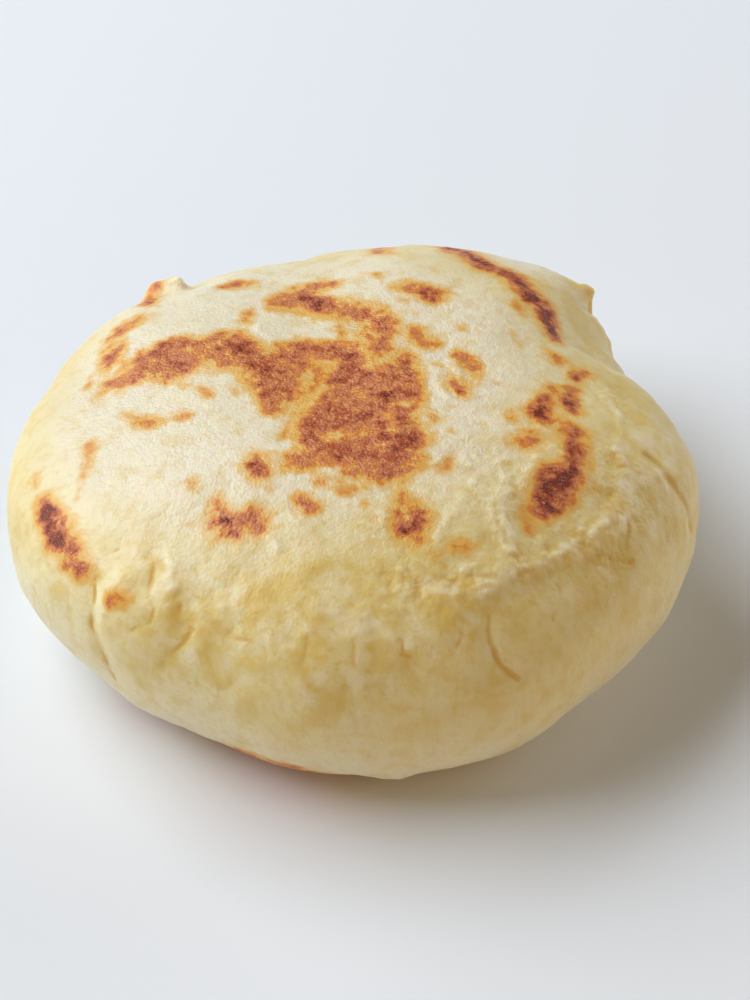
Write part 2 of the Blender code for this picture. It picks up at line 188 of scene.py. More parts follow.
GOLDEN = (
    # where the dough is only toasted golden, or orange in the middle of the wider ones
    ((-38.0, 8.6, 0.7), (-38.0, 6.2, 1.0)),
    ((-33.6, 9.6, 0.8), (-32.6, 7.6, 1.0), (-33.6, 6.8, 0.6)),
    ((-36.2, 3.3, 0.4), (-36.1, 2.9, 0.4)),
    ((-33.4, 1.8, 0.3), (-32.4, 1.2, 0.3)),
    ((-24.0, 1.0, 0.3), (-23.2, 0.6, 0.6)),
    ((-21.2, -0.8, 0.7), (-20.0, -2.6, 0.8)),
    ((-31.8, -3.6, 0.7), (-29.8, -5.0, 0.7), (-28.0, -6.2, 1.3), (-25.8, -6.2, 0.5), (-23.8, -6.2, 1.0),
     (-22.4, -6.4, 0.6)),
    ((-36.6, -8.4, 0.8), (-36.6, -9.2, 0.9), (-36.8, -11.8, 0.4), (-37.0, -14.4, 0.3)),
    ((-37.6, -16.4, 0.1), (-38.0, -19.0, 0.2)),
    ((-44.7, -10.4, 0.6), (-44.2, -12.2, 0.8)),
    ((-17.0, 15.2, 0.3), (-15.6, 15.6, 0.8), (-15.0, 17.0, 0.5), (-14.6, 19.6, 0.1)),
    ((-17.0, -1.0, 0.3), (-16.2, -2.6, 0.1)),
    ((-15.6, 2.0, 0.4), (-14.6, -1.4, 0.4), (-13.0, -4.4, 0.3)),
    ((-12.0, 18.8, 0.7), (-8.0, 17.8, 0.9), (-4.6, 16.6, 0.9), (-1.4, 15.4, 0.9)),
    ((-1.8, 13.6, 0.7), (-1.4, 11.0, 0.7)),
    ((-7.8, 11.0, 0.5), (-6.6, 10.4, 0.7), (-4.4, 9.8, 0.6), (-2.2, 9.6, 0.6)),
    ((3.8, 17.0, 0.5), (5.2, 16.2, 0.4)),
    ((-5.8, 3.6, 1.0), (-4.6, 4.6, 0.9), (-3.0, 3.4, 0.9), (-3.6, 1.0, 0.9)),
    ((-4.8, 3.2, 0.4), (-4.4, 1.6, 0.2), (-5.4, -0.6, 0.2)),
    ((-5.6, -0.6, 1.0), (-6.6, -3.4, 1.0), (-7.8, -6.6, 0.8), (-8.6, -9.6, 0.5), (-9.2, -12.2, 0.7)),
    ((2.0, 7.2, 0.5), (3.0, 4.4, 0.6)),
    ((-8.6, -18.8, 0.3), (-5.4, -18.8, 0.6), (-4.0, -20.4, 0.3), (-1.6, -21.4, 0.3), (2.6, -22.6, 0.2)),
    ((0.4, -23.0, 0.5), (0.5, -22.8, 0.5)),
    ((-4.3, -21.6, 0.8), (-3.9, -21.8, 0.8)),
    ((-1.4, -23.3, 0.7), (-0.4, -23.6, 0.8)),
    ((-10.6, -22.6, 0.4), (-9.8, -22.2, 0.3)),
    ((-7.2, -23.2, 0.4), (-6.6, -24.2, 0.5)),
    ((-4.2, -26.1, 0.3), (-4.0, -26.4, 0.3)),
    ((9.2, 3.6, 0.6), (10.0, 0.0, 0.6), (10.6, -4.0, 0.6)),
    ((11.3, -7.8, 1.0), (11.3, -8.6, 0.9)),
    ((11.4, -12.3, 0.7), (11.3, -13.2, 0.7)),
    ((10.4, -16.0, 0.6), (9.4, -18.8, 0.7), (6.8, -21.4, 0.6)),
    ((13.7, -10.4, 0.1), (14.0, -11.4, 0.1)),
    ((13.6, -16.2, 0.9), (12.7, -18.2, 1.1)),
    ((12.2, 4.1, 0.4), (12.6, 3.6, 0.3)),
    ((17.6, 2.4, 0.6), (18.1, -0.2, 0.4)),
    ((20.6, 0.1, 0.1), (20.8, -0.1, 0.1)),
    ((13.9, -5.4, 0.0), (14.4, -5.6, 0.0)),
    ((15.9, 12.8, 0.6), (16.0, 12.0, 0.6)),
    ((18.2, 11.2, 0.0), (18.4, 11.0, 0.0)),
    ((7.2, 19.2, 0.6), (7.7, 18.9, 0.5)),
    ((7.6, 16.2, 0.2), (9.4, 15.4, 0.2)),
    ((8.9, 12.0, 0.7), (8.6, 10.4, 0.8), (10.2, 8.8, 0.9), (12.0, 8.7, 0.8)),
    ((1.2, 27.4, 0.1), (3.6, 26.0, 0.1), (4.6, 23.6, 0.0)),
    ((24.3, 20.8, 0.7), (24.5, 19.2, 1.0), (24.7, 17.4, 0.6)),
    ((-9.6, 37.0, 0.1), (-8.8, 38.6, 0.2)),
    ((5.4, 34.2, 0.9), (5.2, 39.0, 1.5), (5.0, 43.0, 1.5)),
    ((-31.2, 30.0, 0.7), (-30.2, 24.0, 0.6)),
    ((-30.4, 32.0, 0.7), (-29.6, 30.4, 0.7)),
    ((23.2, 12.8, 0.0), (24.6, 9.6, 0.0)),
    ((27.9, 10.8, -0.2), (30.4, 7.6, 0.0)),
    ((24.6, -21.4, 0.6), (23.9, -24.0, 1.0), (24.0, -26.8, 0.8)),
    ((22.3, -21.6, 0.2), (22.6, -20.6, 0.1)),
    ((33.2, -17.0, 0.6), (33.5, -17.6, 0.6)),
    ((32.8, -10.4, 0.4), (33.2, -13.6, 0.4), (32.6, -16.0, 0.3)),
    ((28.2, -0.6, 0.4), (29.4, 1.2, 0.3), (30.6, 1.4, 0.4)),
    ((22.5, -7.0, 0.5), (22.5, -7.4, 0.5)),
    ((6.2, -27.0, 0.5), (6.5, -27.5, 0.5)),
    ((7.0, -23.0, 0.8), (8.4, -25.4, 0.8)),
    ((10.6, -26.4, 0.2), (9.4, -29.4, 0.5), (9.0, -30.8, 0.5)),
    ((11.7, -33.1, 0.5), (13.2, -32.0, 0.3)),
    ((14.0, -31.5, 0.6), (15.4, -31.2, 0.7)),
    ((16.9, -30.8, 0.4), (17.1, -30.8, 0.3)),
    ((1.5, -25.6, 0.1), (1.8, -25.2, 0.1)),
    ((3.6, -27.6, 0.0), (3.8, -28.4, 0.0)),
    ((-22.0, -29.4, 0.0), (-21.8, -29.8, 0.0)),
    ((-21.7, -26.4, 0.2), (-21.4, -26.6, 0.2)),
    ((-21.6, -19.4, 0.7), (-21.4, -20.9, 0.8)),
    ((-32.3, -33.7, 1.0), (-30.4, -34.7, 1.3)),
)

# Where the side is yellower, partly the dough's own yellow and partly painted warm shade in its hollows,
# creases and shaded flank: azimuth, height and half width, which is below zero where it is hardly so
YELLOW_SIDE = (
    # hollows between the soft lumps of the front
    ((251.7, 29.2, 0.9), (253.6, 31.6, 1.2), (255.3, 32.4, 1.3), (258.1, 33.1, 1.3), (261.2, 34.4, 1.0),
     (265.7, 34.8, 0.7)),
    ((251.5, 32.4, 0.5), (252.2, 32.2, 0.5)),
    ((239.1, 28.1, 0.9), (238.6, 27.0, 1.0), (240.1, 27.4, 0.4), (241.8, 26.0, 0.3), (239.9, 24.2, 0.4),
     (237.8, 20.9, 0.3)),
    ((243.8, 26.4, 1.2), (247.0, 25.0, 1.5), (249.0, 23.0, 1.2)),
    ((274.9, 32.0, 0.3), (274.1, 31.4, 0.3)),
    ((270.9, 34.4, 0.5), (271.6, 34.2, 0.4)),
    ((261.0, 27.6, 0.9), (264.0, 25.0, 0.8)),
    ((230.8, 30.9, 0.5), (231.4, 31.6, 0.5), (227.9, 31.8, 0.4)),
    ((214.1, 22.7, 1.2), (215.4, 24.1, 1.2)),
    ((220.2, 29.0, 0.3), (221.2, 27.5, 0.3), (222.8, 25.0, 0.3), (222.6, 21.8, 0.5), (224.3, 19.9, 0.6),
     (225.2, 16.0, 0.6)),
    ((231.6, 18.4, 0.4), (232.7, 15.0, 0.3)),
    # the hollow under the rim, its short dashes and the forked crack
    ((294.1, 33.0, 0.8), (292.6, 32.2, 0.8), (290.2, 32.2, 0.4)),
    ((286.4, 31.7, 0.6), (288.8, 31.0, 0.8), (291.7, 31.2, 0.8), (294.4, 30.2, 0.6), (298.4, 30.0, 0.4)),
    ((303.2, 29.3, 0.1), (304.6, 28.7, 0.2)),
    ((298.6, 29.4, 0.0), (299.9, 29.1, 0.1)),
    ((322.0, 29.4, 0.2), (323.6, 27.6, 0.5), (327.0, 26.3, 0.5)),
    ((329.1, 28.7, 0.0), (327.1, 27.8, 0.3)),
    # the lip's and the nub's thin ends, and the flank below the stripe, whose yellow is painted shade as it
    # turns from the light
    ((45.4, 30.0, 1.6), (43.9, 28.6, 1.6), (43.6, 27.6, 1.2)),
    ((132.6, 32.3, 0.9), (131.2, 32.7, 1.2)),
    ((41.4, 31.6, 1.4), (37.6, 31.0, 2.2), (33.0, 30.6, 2.4), (28.6, 30.2, 1.8)),
    ((347.8, 32.2, -0.2), (347.6, 30.6, -0.1), (346.4, 28.6, -0.2), (345.8, 26.0, -0.4)),
)

PALE = (
    # gaps in the marks, where the dough hardly touched the griddle
    ((1.4, 8.2, 0.4), (2.2, 6.0, 0.7), (2.8, 3.6, 0.6), (3.2, 2.0, 0.1)),
    ((4.4, -7.4, 0.3), (4.9, -8.6, 0.4)),
    ((3.8, -7.7, 0.0), (5.2, -7.4, 0.1), (5.8, -9.4, 0.1), (5.5, -11.0, 0.0)),
    ((7.5, -5.0, 0.6), (7.9, -5.2, 0.6)),
    ((-3.4, -13.0, 0.2), (-1.6, -11.6, 0.3), (0.4, -12.0, -0.3), (3.4, -11.4, -0.5), (6.4, -11.0, -0.6)),
    ((-5.4, 3.8, 0.2), (-3.4, 3.4, 0.4)),
    ((1.0, 13.4, 0.5), (1.4, 12.6, 0.5)),
    ((8.8, 11.1, -0.1), (9.0, 10.9, -0.1)),
    ((-14.2, 9.8, 0.2), (-13.6, 9.0, 0.2)),
    ((-5.6, 22.2, 0.4), (-3.4, 22.0, 0.6), (-1.4, 21.4, 0.6)),
)

# Relief of the top: height, half width, and the line's points
TOP_RELIEF = (
    # pale crests between the main pad and the right-hand cluster
    (0.18, 0.69, ((8.2, 10.6), (9.2, 8.2), (10.6, 5.4), (11.8, 1.7), (12.8, -1.0))),
    (0.22, 0.52, ((13.8, 5.8), (14.6, 3.8), (15.5, 1.1))),
    (0.22, 0.52, ((12.6, -0.4), (13.0, -3.0), (13.9, -4.0))),
    (0.14, 0.57, ((-13.8, 13.8), (-12.6, 11.4), (-11.2, 9.4))),
    (0.16, 0.40, ((-2.6, -12.6), (0.2, -11.4), (3.2, -10.5), (7.4, -9.3))),
    (0.13, 0.40, ((-1.0, -8.4), (1.8, -5.8), (4.0, -5.0))),
    (0.18, 0.46, ((12.4, -16.0), (11.5, -17.4))),
    (0.18, 0.46, ((15.5, -14.5), (15.5, -16.3), (16.6, -17.5), (17.5, -16.5), (17.1, -14.7))),
    (0.20, 0.52, ((18.2, -17.8), (19.6, -16.5), (21.3, -15.8), (21.9, -15.0))),
    (0.20, 0.52, ((16.8, -19.8), (15.6, -22.3), (14.9, -24.7), (14.4, -26.5))),
    (0.20, 0.52, ((14.9, -23.1), (14.0, -25.5), (12.5, -28.0), (11.6, -30.5))),
    (0.20, 0.52, ((21.5, -18.5), (20.1, -21.7), (19.1, -23.7))),
    (0.18, 0.52, ((19.1, -25.5), (19.3, -27.6), (20.2, -28.7), (20.5, -30.5))),
    # a ringed pit in front, and a crest beside the mark at the left front
    (0.14, 0.52, ((2.2, -26.6), (3.9, -26.9), (4.4, -28.6), (3.3, -29.2), (1.9, -28.4))),
    (-0.09, 0.7, ((3.0, -27.7), (3.1, -28.4))),
    (0.18, 0.69, ((-10.6, -30.1), (-9.5, -31.8))),
    # crests round the marks of the cluster
    (0.20, 0.52, ((24.9, -16.1), (24.2, -18.1), (23.9, -20.2))),
    (0.18, 0.46, ((22.7, -19.4), (23.7, -18.2))),
    (0.23, 0.52, ((25.6, -14.8), (26.5, -14.1), (28.0, -12.1), (29.4, -13.6))),
    (0.18, 0.52, ((26.1, -8.9), (27.1, -9.5), (28.3, -9.7), (29.1, -11.2))),
    (0.26, 0.57, ((21.9, -21.2), (20.6, -23.1), (20.5, -25.2), (20.9, -27.1), (21.7, -28.4),
     (21.4, -30.8))),
    (0.25, 0.57, ((35.0, -22.5), (36.4, -19.9), (37.2, -17.7), (37.1, -16.3))),
    (0.14, 0.57, ((33.4, -19.2), (32.0, -21.8), (29.6, -24.2))),
    (0.16, 0.69, ((29.2, -25.0), (27.2, -26.2), (25.4, -28.4))),
    (-0.09, 0.7, ((31.4, -25.8), (28.0, -28.4), (24.2, -30.0))),
    (-0.12, 0.35, ((23.2, 11.6), (24.1, 10.2), (25.1, 9.0))),
    (-0.12, 0.35, ((28.0, 9.0), (29.6, 8.7), (30.9, 7.6))),
    # the broken rim of the griddled face
    (0.18, 0.80, ((17.6, -37.6), (20.4, -34.8), (23.6, -32.4), (26.8, -30.9), (28.2, -29.4))),
    (0.18, 0.69, ((28.2, -29.4), (30.1, -26.8), (31.7, -25.6), (32.9, -24.7), (34.5, -23.0),
     (35.3, -21.2))),
    (0.14, 0.70, ((35.2, -25.6), (36.6, -22.8), (38.0, -19.4), (38.6, -15.6))),
    (0.13, 0.70, ((4.6, -38.6), (9.0, -38.0), (13.4, -38.4), (17.6, -37.6))),
    (0.14, 0.80, ((14.0, -35.4), (16.4, -33.6), (18.6, -31.6))),
    (-0.08, 0.8, ((16.4, -36.0), (19.6, -33.0), (22.6, -31.0))),
    # dry crests over the right lobe, and dents between them
    (0.20, 0.57, ((36.1, 2.5), (37.3, 0.5), (37.8, -2.0), (37.8, -5.8), (37.0, -8.4), (37.5, -11.0),
     (38.4, -13.5))),
    (0.14, 0.57, ((41.0, 1.3), (42.5, -0.6))),
    (0.14, 0.69, ((38.6, -6.5), (41.3, -5.4))),
    (-0.10, 1.2, ((40.4, -2.6), (40.9, -3.4))),
    (-0.08, 0.6, ((33.6, -13.0), (33.7, -17.6), (35.0, -19.0))),
    # the griddled face's edge at the left front
    (0.10, 0.8, ((-33.6, -29.4), (-30.8, -28.4), (-28.6, -29.2))),
    (-0.10, 0.4, ((-35.2, -29.4), (-33.6, -28.4), (-31.4, -27.6))),
    (0.14, 0.80, ((-24.6, -30.4), (-23.8, -32.6), (-23.6, -34.8))),
    # the nub's steep right end
    (0.60, 0.80, ((-27.2, 31.3), (-26.2, 30.5))),
    (-0.20, 1.30, ((-24.9, 29.4), (-23.4, 30.2))),
)

# Relief of the side: height, half width, and the line's azimuths and heights
SIDE_RELIEF = (
    # the left-front fold, the crags inside it, and the groove that runs down from them
    (-0.19, 0.35, ((220.1, 29.1), (221.2, 27.5), (222.8, 25.0), (222.6, 21.8), (224.3, 19.9),
     (225.2, 16.9), (226.4, 12.8))),
    (0.11, 1.0, ((225.2, 29.4), (224.8, 26.8), (225.2, 24.4), (226.6, 21.6), (228.4, 18.4))),
    (-0.16, 0.35, ((227.7, 31.9), (230.6, 31.4), (231.2, 30.4), (232.9, 29.1), (234.5, 28.6),
     (234.3, 26.8), (232.2, 24.9))),
    (0.07, 1.3, ((233.3, 32.0), (235.4, 30.2), (236.6, 28.8))),
    (-0.16, 0.35, ((238.8, 29.0), (238.6, 27.6), (240.6, 27.5), (242.3, 27.3), (241.8, 26.1),
     (239.9, 24.2), (237.8, 20.9))),
    (-0.12, 0.35, ((219.4, 20.8), (221.4, 22.5), (222.1, 21.9), (222.8, 20.7))),
    (0.10, 1.2, ((243.4, 29.0), (243.6, 26.0), (242.0, 23.0))),
    (-0.11, 0.40, ((248.6, 28.2), (251.0, 27.8), (253.4, 28.4))),
    (-0.11, 0.35, ((255.2, 28.8), (256.2, 27.2), (255.8, 26.2))),
    (-0.09, 0.35, ((262.9, 29.6), (262.4, 26.6))),
    (-0.09, 0.35, ((270.8, 29.6), (270.6, 27.2))),
    (-0.12, 0.35, ((278.8, 29.6), (278.4, 28.2), (280.0, 27.8))),
    (-0.09, 0.35, ((283.8, 28.9), (283.4, 27.9))),
    # the curved crack and the finer ones round it
    (-0.22, 0.42, ((294.4, 29.4), (293.7, 27.2), (294.1, 25.4), (295.1, 24.1), (296.8, 22.8))),
    (0.09, 1.0, ((296.2, 28.6), (296.0, 26.8), (297.0, 25.2), (298.8, 24.0))),
    (-0.16, 0.35, ((289.8, 30.4), (288.7, 29.3), (287.4, 28.2))),
    (-0.12, 0.35, ((303.2, 29.3), (304.6, 28.7))),
    (-0.12, 0.35, ((298.6, 29.4), (299.9, 29.1))),
    (-0.09, 0.35, ((300.6, 26.2), (301.0, 25.4))),
    (-0.09, 0.35, ((310.4, 29.0), (309.2, 28.1), (306.2, 26.8))),
    (-0.08, 0.35, ((317.2, 27.4), (315.8, 25.7))),
    (-0.18, 0.35, ((320.5, 30.3), (322.0, 29.4), (323.6, 27.6), (327.0, 26.3))),
    (-0.16, 0.35, ((331.0, 29.4), (329.1, 28.7), (327.1, 27.9))),
    (0.12, 0.9, ((329.0, 27.0), (327.6, 26.2))),
    (-0.15, 0.35, ((337.9, 25.1), (336.6, 23.9))),
    (-0.08, 0.40, ((346.0, 29.4), (345.8, 27.4))),
    # the long soft fold over the right lobe
    (-0.28, 0.6, ((347.7, 32.8), (347.8, 31.1), (346.9, 29.4), (345.9, 27.5), (345.8, 24.6),
     (345.0, 21.0))),
    (0.20, 0.9, ((345.2, 32.4), (345.2, 30.8), (344.4, 28.8), (343.6, 26.8), (343.4, 24.0), (342.8, 21.0))),
    # thin flakes of the lower griddled face, where it turns up at the front
    (-0.12, 0.30, ((246.0, 9.4), (251.0, 9.9), (256.0, 9.6))),
    (-0.11, 0.30, ((250.0, 11.2), (254.0, 11.4))),
    # the lip at the back right, and the nub at the back left
    (-0.30, 1.0, ((47.6, 29.6), (46.0, 29.4))),
    (0.70, 0.7, ((44.4, 28.8), (43.9, 27.5))),
    (-0.65, 0.9, ((42.6, 25.8), (42.0, 24.6))),
    (0.25, 1.2, ((136.6, 31.4), (133.8, 31.9))),
)

# Where the skin is crumbly, wrinkled, lumpy, sharp or dry: x, y and spread on the top, and azimuth, height
# and spread on the side
CRUMBLY_TOP = (
    (14.0, -37.0, 3.6), (18.0, -35.6, 3.8), (23.0, -32.6, 4.2), (27.0, -30.0, 4.2), (31.0, -26.5, 4.2),
    (36.0, -20.0, 4.0), (37.5, -12.0, 3.5), (38.0, 2.0, 4.0), (8.0, -37.0, 4.0),
)
CRUMBLY_SIDE = (
    (40.0, 25.0, 3.0), (36.0, 23.0, 4.0), (322.0, 29.0, 3.0),
)
WRINKLED_TOP = (
    (16.0, 3.0, 9.0), (17.0, -12.0, 10.0), (9.0, -26.0, 8.0), (22.0, -22.0, 8.0), (33.0, -14.0, 7.0),
    (20.0, 16.0, 9.0),
)
LUMPY_SIDE = (
    (238.0, 30.0, 7.0), (250.0, 30.0, 8.0), (262.0, 31.0, 8.0), (275.0, 31.0, 8.0), (288.0, 32.0, 7.0),
    (246.0, 23.0, 6.0), (268.0, 25.0, 6.0), (318.0, 30.0, 6.0), (335.0, 30.0, 6.0), (352.0, 31.0, 6.0),
)
SHARP_SIDE = (
    (131.0, 32.0, 4.5), (44.0, 27.5, 4.5), (38.0, 25.0, 4.0),
)
DRY_TOP = ((27.0, 38.5, 9.0),)

# The oval of the top that is dry, and painted paler there also as the sheen of the light: its middle and
# half widths
DRY_AND_SHEEN_OVAL = (-10.0, 4.0, 39.0, 34.0)
# Azimuth and spread of the lower face's turned-up rim, and of the left front, which is painted paler as lit
# by the light from the left
TURNED_UP = (257.0, 22.0)
LIT_LEFT_FRONT = (216.0, 26.0)

# Rounds of smoothing for the sharp forms, and further rounds for the rest
FIRST_ROUNDS = 8
MORE_ROUNDS = 36
# How far a line of relief wavers, the width below which a hollow is a crack, and the foot where relief fades
WAVER = 0.22
CRACK_WIDTH = 0.5
FLAT_FOOT = 3.0
# What lies lower than LOW or behind FAR_BACK is seldom seen, so the mesh is thinned more over the fade
LOW = 14.0
FAR_BACK = 36.0
FADE = 8.0


def linear(hex_colour):
    """An sRGB hex colour as linear red, green and blue."""
    srgb = [int(hex_colour[i : i + 2], 16) / 255.0 for i in (0, 2, 4)]
    return tuple(c / 12.92 if c <= 0.04045 else ((c + 0.055) / 1.055) ** 2.4 for c in srgb)


class ArepaSkin(bpy.types.PropertyGroup):
    """Sizes of the skin's mesh and of its finest relief."""

    mesh_step: FloatProperty(
        name="Mesh step",
        description="Size of the mesh's squares before it is thinned",
        default=0.42 * MM,
        unit="LENGTH",
    )
    triangles: IntProperty(
        name="Triangles", description="Triangles that the skin keeps", default=196000, min=1000
    )
    crumb_height: FloatProperty(
        name="Crumb height",
        description="Height of the crumbs where the dough is broken",
        default=0.20 * MM,
        unit="LENGTH",
    )
    wrinkle_height: FloatProperty(
        name="Wrinkle height",
        description="Height of the dry wrinkles of the top",
        default=0.13 * MM,
        unit="LENGTH",
    )
    lump_height: FloatProperty(
        name="Lump height", description="Height of the front's soft lumps", default=0.28 * MM, unit="LENGTH"
    )
    uneven_height: FloatProperty(
        name="Unevenness",
        description="Height of the small lumps all over the dough",
        default=0.05 * MM,
        unit="LENGTH",
    )
    grain_depth: FloatProperty(
        name="Grain depth",
        description="Depth of the flour grain in the material",
        default=0.12 * MM,
        unit="LENGTH",
    )
    crumb_depth: FloatProperty(
        name="Crumb depth",
        description="Depth between the rim's crumbs in the material",
        default=0.15 * MM,
        unit="LENGTH",
    )
    crease_depth: FloatProperty(
        name="Crease height",
        description="Height of the finest dry wrinkles in the material",
        default=0.05 * MM,
        unit="LENGTH",
    )


class ArepaColours(bpy.types.PropertyGroup):
    """Colours of the dough, from raw to scorched."""

    # Dry cream, laid on the dry top, and also as painted sheen there and painted bounce light at the foot
    dry_cream_and_painted_light: FloatVectorProperty(
        name="Dry cream",
        description="The griddled top, dry and pale",
        subtype="COLOR",
        default=linear("EDE4CD"),
    )
    waxy_cream: FloatVectorProperty(
        name="Waxy cream",
        description="The steamed sides, yellower",
        subtype="COLOR",
        default=linear("E6D59C"),
    )
    # Starch yellow, laid in patches, and also in the side's hollows and creases as painted warm shade
    starch_yellow_and_shade: FloatVectorProperty(
        name="Starch yellow",
        description="Soft yellow patches in it",
        subtype="COLOR",
        default=linear("DEC068"),
    )
    golden: FloatVectorProperty(
        name="Golden", description="Just toasted", subtype="COLOR", default=linear("E6B75C")
    )
    orange: FloatVectorProperty(
        name="Orange", description="The rim of a griddle mark", subtype="COLOR", default=linear("DE8A34")
    )
    brown: FloatVectorProperty(
        name="Brown", description="The griddle marks", subtype="COLOR", default=linear("CE8358")
    )
    red_brown: FloatVectorProperty(
        name="Red brown", description="Their well toasted grains", subtype="COLOR", default=linear("B65A2C")
    )
    scorched: FloatVectorProperty(
        name="Scorched",
        description="The dark cores of the griddle marks",
        subtype="COLOR",
        default=linear("7C2E1A"),
    )
    # Floury, also laid on raised crests, partly as painted highlight
    floury: FloatVectorProperty(
        name="Floury",
        description="Crests and crumbs that stay dry",
        subtype="COLOR",
        default=linear("F1E8CE"),
    )
    # Painted glints: pale flecks that stand for small highlights on the griddle marks
    glint_colour: FloatVectorProperty(
        name="Fleck",
        description="Small dry blisters on the griddle marks",
        subtype="COLOR",
        default=linear("EDC29C"),
    )
    # Painted light: the left front, which faces the light from the left, is painted in this paler colour
    steamed: FloatVectorProperty(
        name="Steamed",
        description="The left front, which swelled clear of the griddle",
        subtype="COLOR",
        default=linear("F1E4B6"),
    )
    # Furrow: darker yellow in cracks, between crumbs and in the relief's hollows, partly the dough's own and
    # partly painted shade
    furrow: FloatVectorProperty(
        name="Furrow", description="Inside the cracks", subtype="COLOR", default=linear("DDB04C")
    )


class ArepaStudio(bpy.types.PropertyGroup):
    """The floor, the light and the camera."""

    floor_colour: FloatVectorProperty(
        name="Floor colour", description="A pale, cool white", subtype="COLOR", default=linear("E8ECF2")
    )
    key_power: FloatProperty(
        name="Key light", description="Power of the large window at the left", default=25.9, unit="POWER"
    )
    key_colour: FloatVectorProperty(
        name="Daylight",
        description="Colour of the key and back lights",
        subtype="COLOR",
        default=(0.92, 0.96, 1.0),
    )
    back_power: FloatProperty(
        name="Back light", description="Power of the low light at the back right", default=1.9, unit="POWER"
    )
    fill_power: FloatProperty(
        name="Fill light", description="Power of the light at the front right", default=1.5, unit="POWER"
    )
    low_power: FloatProperty(
        name="Low light", description="Power of the warm light from low in front", default=0.5, unit="POWER"
    )
    fill_colour: FloatVectorProperty(
        name="Warm fill",
        description="Colour of the light that the room returns",
        subtype="COLOR",
        default=(1.0, 0.72, 0.40),
    )
    surroundings: FloatProperty(name="Surroundings", description="Brightness of the room", default=0.02)
    camera_rise: FloatProperty(
        name="Camera rise",
        description="How far the camera looks down",
        subtype="ANGLE",
        default=math.radians(41.0),
    )
    camera_distance: FloatProperty(
        name="Camera distance", description="From the camera to its aim", default=376.8 * MM, unit="LENGTH"
    )
    lens: FloatProperty(name="Lens", description="Focal length", default=93.6, unit="CAMERA")


def remove_object(name):
    """Removes what an earlier run of an operator has made."""
    old = bpy.data.objects.get(name)
    if old is not None:
        bpy.data.objects.remove(old)


def solid_surface():
    """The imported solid, for rays, in metres."""
    mesh = SOLID.data
    corners = [vertex.co for vertex in mesh.vertices]
    return BVHTree.FromPolygons(corners, [tuple(face.vertices) for face in mesh.polygons])


def top_place(surface, x, y):
    """The solid's point under x, y, in millimetres."""
    hit = surface.ray_cast(Vector((x * MM, y * MM, 1.0)), Vector((0.0, 0.0, -1.0)))[0]
    if hit is None:
        raise ValueError(f"no part of the top lies at {x}, {y}")
    return np.array(hit) / MM


def side_place(surface, azimuth, height):
    """The solid's point at an azimuth and a height, in millimetres."""
    outward = Vector((math.cos(math.radians(azimuth)), math.sin(math.radians(azimuth)), 0.0))
    hit = surface.ray_cast(outward + Vector((0.0, 0.0, height * MM)), -outward)[0]
    if hit is None:
        raise ValueError(f"no part of the side lies at {azimuth}, {height}")
    return np.array(hit) / MM


def along_and_away(points, start, end):
    """How far along a straight piece each point lies, from 0 to 1, and its distance from the piece."""
    run = end - start
    along = np.clip((points - start) @ run / (run @ run), 0.0, 1.0)
    return along, np.linalg.norm(points - start - along[:, None] * run, axis=1)


def line_gap(points, line):
    """Each point's distance to a line of straight pieces."""
    nearest = np.full(len(points), 1000.0)
    for start, end in zip(line[:-1], line[1:]):
        nearest = np.minimum(nearest, along_and_away(points, start, end)[1])
    return nearest


def depth_inside(points, surface, marks, find_place=top_place):
    """How far each point lies inside a set of marks, and how far outside where negative, in millimetres."""
    softness = 0.35
    far_outside = -60.0
    total = np.full(len(points), far_outside / softness)
    for mark in marks:
        places = [find_place(surface, *spot[:2]) for spot in mark]
        widths = [spot[2] for spot in mark]
        for start, end, first, last in zip(places[:-1], places[1:], widths[:-1], widths[1:]):
            along, away = along_and_away(points, start, end)
            inside = first + (last - first) * along - away
            total = np.logaddexp(total, inside / softness)
    return total * softness


def spread_over(points, surface, spots, find_place=top_place):
    """From 0 to 1, how near each point is to a set of spots with their spreads."""
    nearness = np.zeros(len(points))
    for *spot, spread in spots:
        gap = np.linalg.norm(points - find_place(surface, *spot), axis=1)
        nearness = np.maximum(nearness, np.exp(-((gap / spread) ** 2)))
    return nearness


def lumps(points, size, seed):
    """Smooth noise of about plus or minus one, with lumps of the given size."""
    slanted = points @ np.array(Euler((0.5, 0.8, 0.3)).to_matrix()).T / size + seed
    return np.array([noise.noise(Vector(point)) for point in slanted]) * 2.0


def grains(points, size, seed):
    """Rounded crumbs that stand side by side, from 0 between them to 1 on them."""
    slanted = points @ np.array(Euler((0.2, 0.5, 0.9)).to_matrix()).T / size + seed
    return 1.0 - np.array([noise.voronoi(Vector(point))[0][0] for point in slanted])


def smooth(points, edges, rounds):
    """Evens a mesh's points out, each towards the middle of its neighbours."""
    count = np.bincount(edges.ravel(), minlength=len(points))[:, None]
    for _ in range(rounds):
        total = np.zeros_like(points)
        for axis in range(3):
            total[:, axis] = np.bincount(edges[:, 0], points[edges[:, 1], axis], len(points))
            total[:, axis] += np.bincount(edges[:, 1], points[edges[:, 0], axis], len(points))
        points = 0.5 * points + 0.5 * total / count
    return points


def read_points(mesh):
    """A mesh's points in millimetres."""
    flat = np.zeros(len(mesh.vertices) * 3)
    mesh.vertices.foreach_get("co", flat)
    return flat.reshape(-1, 3) / MM


def write_points(mesh, points):
    """Puts points in millimetres back into a mesh."""
    mesh.vertices.foreach_set("co", (points * MM).ravel())
    mesh.update()


